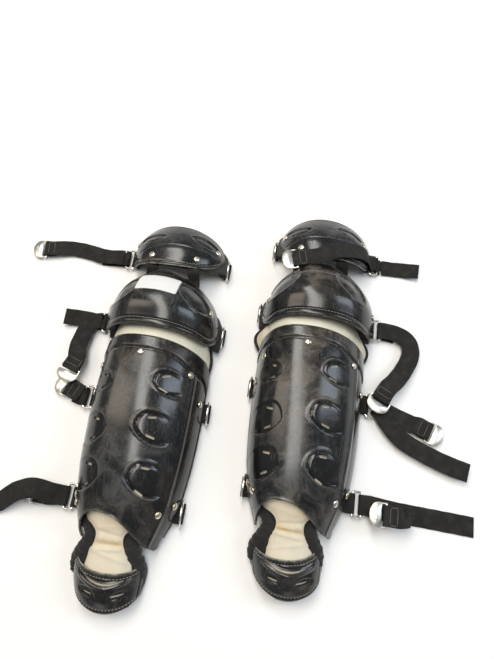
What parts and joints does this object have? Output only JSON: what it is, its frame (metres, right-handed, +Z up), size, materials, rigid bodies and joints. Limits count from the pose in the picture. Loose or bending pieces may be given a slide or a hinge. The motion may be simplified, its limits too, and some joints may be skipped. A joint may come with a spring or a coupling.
{
  "type": "catcher's leg guards",
  "caption": "Pair of hinged leg guards with thigh plates, knee caps, vented shin shells, foot flaps, foam pads and elastic hook straps.",
  "frame": {"origin": "on the floor, at the centre of the pair's outline", "axes": "+X across the pair from the left guard to the right guard, +Y from the toes to the thigh, +Z up out of the floor"},
  "size_m": [0.6854, 0.593, 0.0951],
  "materials": {
    "shell": "injection-moulded black plastic, satin gloss with grey scuffs and dust",
    "collar": "off-white flexible sheet, slightly glossy, aged",
    "liner": "cream brushed fabric over foam, wrinkled and stained",
    "pad": "black knitted fabric over foam with stitched channels",
    "webbing": "charcoal woven webbing, 25.4 mm wide",
    "steel": "nickel-plated steel, slightly worn"
  },
  "bodies": {
    "left_thigh": {"left_thigh_plate": "shell", "left_thigh_pad": "pad", "left_thigh_webbing": "webbing", "left_thigh_link": "webbing"},
    "left_thigh_strap": {"left_thigh_strap_ring": "steel", "left_thigh_strap_web": "webbing"},
    "left_thigh_hook": {"left_thigh_hook_plate": "steel"},
    "left_thigh_ring": {"left_thigh_d_ring": "steel"},
    "left_knee": {"left_knee_cap": "shell", "left_knee_pad": "pad", "left_knee_webbing": "webbing"},
    "left_knee_strap": {"left_knee_strap_ring": "steel", "left_knee_strap_web": "webbing"},
    "left_knee_hook": {"left_knee_hook_plate": "steel"},
    "left_knee_ring": {"left_knee_d_ring": "steel"},
    "left_foot": {"left_foot_plate": "shell", "left_foot_pad": "pad"},
    "left_shin": {"left_shin_shell": "shell", "left_collar": "collar", "left_shin_liner": "liner", "left_calf_webbing": "webbing", "left_ankle_webbing": "webbing"},
    "left_calf_strap": {"left_calf_strap_ring": "steel", "left_calf_strap_web": "webbing"},
    "left_calf_hook": {"left_calf_hook_plate": "steel"},
    "left_calf_ring": {"left_calf_d_ring": "steel"},
    "left_ankle_strap": {"left_ankle_strap_ring": "steel", "left_ankle_strap_web": "webbing"},
    "left_ankle_hook": {"left_ankle_hook_plate": "steel"},
    "left_ankle_ring": {"left_ankle_d_ring": "steel"},
    "right_thigh": {"right_thigh_plate": "shell", "right_thigh_pad": "pad", "right_thigh_webbing": "webbing", "right_thigh_link": "webbing"},
    "right_thigh_strap": {"right_thigh_strap_ring": "steel", "right_thigh_strap_web": "webbing"},
    "right_thigh_hook": {"right_thigh_hook_plate": "steel"},
    "right_thigh_ring": {"right_thigh_d_ring": "steel"},
    "right_knee": {"right_knee_cap": "shell", "right_knee_pad": "pad", "right_knee_webbing": "webbing"},
    "right_knee_strap": {"right_knee_strap_ring": "steel", "right_knee_strap_web": "webbing"},
    "right_knee_hook": {"right_knee_hook_plate": "steel"},
    "right_knee_ring": {"right_knee_d_ring": "steel"},
    "right_foot": {"right_foot_plate": "shell", "right_foot_pad": "pad"},
    "right_shin": {"right_shin_shell": "shell", "right_collar": "collar", "right_shin_liner": "liner", "right_calf_webbing": "webbing", "right_ankle_webbing": "webbing"},
    "right_calf_strap": {"right_calf_strap_ring": "steel", "right_calf_strap_web": "webbing"},
    "right_calf_hook": {"right_calf_hook_plate": "steel"},
    "right_calf_ring": {"right_calf_d_ring": "steel"},
    "right_ankle_strap": {"right_ankle_strap_ring": "steel", "right_ankle_strap_web": "webbing"},
    "right_ankle_hook": {"right_ankle_hook_plate": "steel"},
    "right_ankle_ring": {"right_ankle_d_ring": "steel"}
  },
  "joints": [
    {"name": "pair_spread", "type": "slide", "parent": "left_shin", "child": "right_shin", "axis": [1, 0, 0], "range_m": [0, 0.3]},
    {"name": "left_thigh_fold", "type": "hinge", "parent": "left_knee", "child": "left_thigh", "pos_m": [-0.10275, 0.1395, 0.039], "axis": [-1, 0, 0], "range_deg": [-15, 45]},
    {"name": "left_thigh_strap_swing", "type": "hinge", "parent": "left_thigh", "child": "left_thigh_strap", "pos_m": [-0.17836, 0.1905, 0.007], "axis": [0, 1, 0], "range_deg": [-90, 75]},
    {"name": "left_thigh_hook_tilt", "type": "hinge", "parent": "left_thigh_strap", "child": "left_thigh_hook", "pos_m": [-0.32175, 0.1895, 0.0075], "axis": [-0.1483, 0.9889, 0], "range_deg": [-40, 80]},
    {"name": "left_thigh_ring_swing", "type": "hinge", "parent": "left_thigh", "child": "left_thigh_ring", "pos_m": [-0.03014, 0.1905, 0.007], "axis": [0, -1, 0], "range_deg": [-165, 4]},
    {"name": "left_knee_fold", "type": "hinge", "parent": "left_shin", "child": "left_knee", "pos_m": [-0.10275, 0.04865, 0], "axis": [-1, 0, 0], "range_deg": [0, 35]},
    {"name": "left_knee_strap_swing", "type": "hinge", "parent": "left_knee", "child": "left_knee_strap", "pos_m": [-0.18775, 0.0805, 0.007], "axis": [0, 1, 0], "range_deg": [0, 45]},
    {"name": "left_knee_hook_tilt", "type": "hinge", "parent": "left_knee_strap", "child": "left_knee_hook", "pos_m": [-0.22475, 0.0005, 0.0195], "axis": [-0.9536, 0.3011, 0], "range_deg": [0, 15]},
    {"name": "left_knee_ring_swing", "type": "hinge", "parent": "left_knee", "child": "left_knee_ring", "pos_m": [-0.02075, 0.0805, 0.007], "axis": [0, -1, 0], "range_deg": [-165, 4]},
    {"name": "left_foot_flap", "type": "hinge", "parent": "left_shin", "child": "left_foot", "pos_m": [-0.10275, -0.21165, 0.0436], "axis": [-1, 0, 0], "range_deg": [-10, 40]},
    {"name": "left_calf_strap_swing", "type": "hinge", "parent": "left_shin", "child": "left_calf_strap", "pos_m": [-0.18572, -0.0345, 0.007], "axis": [0, 1, 0], "range_deg": [-90, 0]},
    {"name": "left_calf_hook_tilt", "type": "hinge", "parent": "left_calf_strap", "child": "left_calf_hook", "pos_m": [-0.22375, -0.0245, 0.0075], "axis": [0.3697, 0.9292, 0], "range_deg": [-60, 0]},
    {"name": "left_calf_ring_swing", "type": "hinge", "parent": "left_shin", "child": "left_calf_ring", "pos_m": [-0.02278, -0.0345, 0.007], "axis": [0, -1, 0], "range_deg": [-165, 4]},
    {"name": "left_ankle_strap_swing", "type": "hinge", "parent": "left_shin", "child": "left_ankle_strap", "pos_m": [-0.17543, -0.1675, 0.007], "axis": [0, 1, 0], "range_deg": [-90, 60]},
    {"name": "left_ankle_hook_tilt", "type": "hinge", "parent": "left_ankle_strap", "child": "left_ankle_hook", "pos_m": [-0.22475, -0.1685, 0.0075], "axis": [0.0499, 0.9988, 0], "range_deg": [-60, 8]},
    {"name": "left_ankle_ring_swing", "type": "hinge", "parent": "left_shin", "child": "left_ankle_ring", "pos_m": [-0.03307, -0.1675, 0.007], "axis": [0, -1, 0], "range_deg": [-165, 4]},
    {"name": "right_thigh_fold", "type": "hinge", "parent": "right_knee", "child": "right_thigh", "pos_m": [0.11125, 0.1845, 0.039], "axis": [-1, 0, 0], "range_deg": [0, 45]},
    {"name": "right_thigh_strap_swing", "type": "hinge", "parent": "right_thigh", "child": "right_thigh_strap", "pos_m": [0.18686, 0.2355, 0.007], "axis": [0, -1, 0], "range_deg": [-115, 0]},
    {"name": "right_thigh_hook_tilt", "type": "hinge", "parent": "right_thigh_strap", "child": "right_thigh_hook", "pos_m": [0.07125, 0.1965, 0.0645], "axis": [-0.2496, 0.9684, 0], "range_deg": [0, 80]},
    {"name": "right_thigh_ring_swing", "type": "hinge", "parent": "right_thigh", "child": "right_thigh_ring", "pos_m": [0.03864, 0.2355, 0.007], "axis": [0, 1, 0], "range_deg": [-165, 4]},
    {"name": "right_knee_fold", "type": "hinge", "parent": "right_shin", "child": "right_knee", "pos_m": [0.11125, 0.09365, 0], "axis": [-1, 0, 0], "range_deg": [0, 35]},
    {"name": "right_knee_strap_swing", "type": "hinge", "parent": "right_knee", "child": "right_knee_strap", "pos_m": [0.19625, 0.1255, 0.007], "axis": [0, -1, 0], "range_deg": [0, 28]},
    {"name": "right_knee_hook_tilt", "type": "hinge", "parent": "right_knee_strap", "child": "right_knee_hook", "pos_m": [0.21225, 0.0195, 0.0195], "axis": [-0.8944, 0.4472, 0], "range_deg": [0, 15]},
    {"name": "right_knee_ring_swing", "type": "hinge", "parent": "right_knee", "child": "right_knee_ring", "pos_m": [0.02925, 0.1255, 0.007], "axis": [0, 1, 0], "range_deg": [-165, 4]},
    {"name": "right_foot_flap", "type": "hinge", "parent": "right_shin", "child": "right_foot", "pos_m": [0.11125, -0.16665, 0.0436], "axis": [-1, 0, 0], "range_deg": [-10, 40]},
    {"name": "right_calf_strap_swing", "type": "hinge", "parent": "right_shin", "child": "right_calf_strap", "pos_m": [0.19422, 0.0105, 0.007], "axis": [0, -1, 0], "range_deg": [-90, 0]},
    {"name": "right_calf_hook_tilt", "type": "hinge", "parent": "right_calf_strap", "child": "right_calf_hook", "pos_m": [0.28125, -0.0145, 0.0075], "axis": [-0.3697, -0.9292, 0], "range_deg": [-40, 60]},
    {"name": "right_calf_ring_swing", "type": "hinge", "parent": "right_shin", "child": "right_calf_ring", "pos_m": [0.03128, 0.0105, 0.007], "axis": [0, 1, 0], "range_deg": [-165, 4]},
    {"name": "right_ankle_strap_swing", "type": "hinge", "parent": "right_shin", "child": "right_ankle_strap", "pos_m": [0.18393, -0.1225, 0.007], "axis": [0, -1, 0], "range_deg": [-90, 60]},
    {"name": "right_ankle_hook_tilt", "type": "hinge", "parent": "right_ankle_strap", "child": "right_ankle_hook", "pos_m": [0.22325, -0.1325, 0.028], "axis": [0.02, 0.9998, 0], "range_deg": [0, 30]},
    {"name": "right_ankle_ring_swing", "type": "hinge", "parent": "right_shin", "child": "right_ankle_ring", "pos_m": [0.04157, -0.1225, 0.007], "axis": [0, 1, 0], "range_deg": [-165, 4]}
  ]
}
